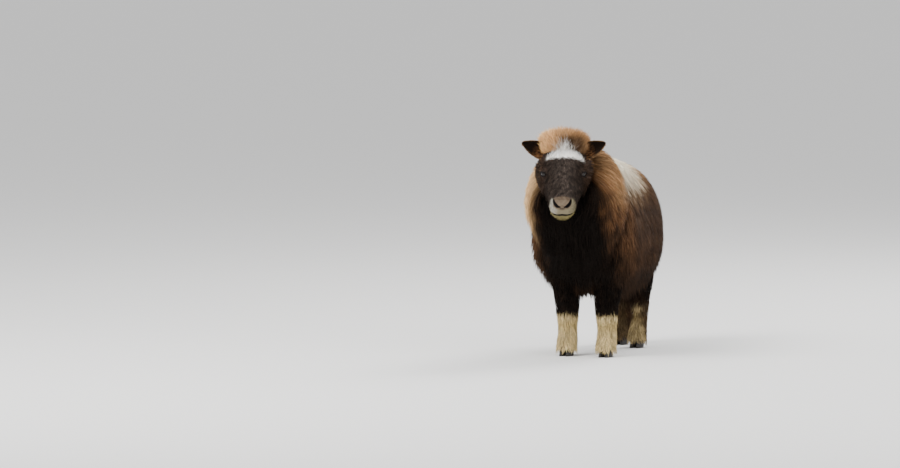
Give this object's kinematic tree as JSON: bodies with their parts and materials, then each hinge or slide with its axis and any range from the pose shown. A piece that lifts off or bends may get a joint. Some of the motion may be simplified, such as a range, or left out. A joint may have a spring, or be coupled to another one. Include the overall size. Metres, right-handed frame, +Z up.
{
  "type": "muskox calf, life-size still model",
  "caption": "Standing young muskox with a shaggy coat, a full mane, a tuft between its ears, pale lower legs and a turned head, for setting on a floor.",
  "frame": {"origin": "middle of the model's box in plan, on the floor that the hooves stand on", "axes": "+Z up, the animal faces -Y, its left side is +X"},
  "size_m": [0.4692, 1.1178, 0.8927],
  "materials": {
    "face_coat": "short dense fur, near black, with a white forehead and a cream muzzle",
    "ear_coat": "short fur, black inside the cup and brown behind",
    "mane_coat": "long soft hair, tan to dark brown",
    "flank_coat": "long shaggy hair, dark brown with a pale saddle",
    "leg_coat": "short fur, dark above and straw coloured below",
    "hoof_horn": "worn dark horn",
    "eye": "wet, glossy, very dark brown"
  },
  "bodies": {
    "root": {"head": "face_coat", "ear_left": "ear_coat", "ear_right": "ear_coat", "eye_left": "eye", "eye_right": "eye", "neck": "mane_coat", "torso": "flank_coat", "tail": "flank_coat", "leg_front_left": "leg_coat", "leg_front_right": "leg_coat", "leg_hind_left": "leg_coat", "leg_hind_right": "leg_coat", "claw_front_left_outer": "hoof_horn", "claw_front_left_inner": "hoof_horn", "claw_front_right_outer": "hoof_horn", "claw_front_right_inner": "hoof_horn", "claw_hind_left_outer": "hoof_horn", "claw_hind_left_inner": "hoof_horn", "claw_hind_right_outer": "hoof_horn", "claw_hind_right_inner": "hoof_horn"}
  },
  "joints": []
}
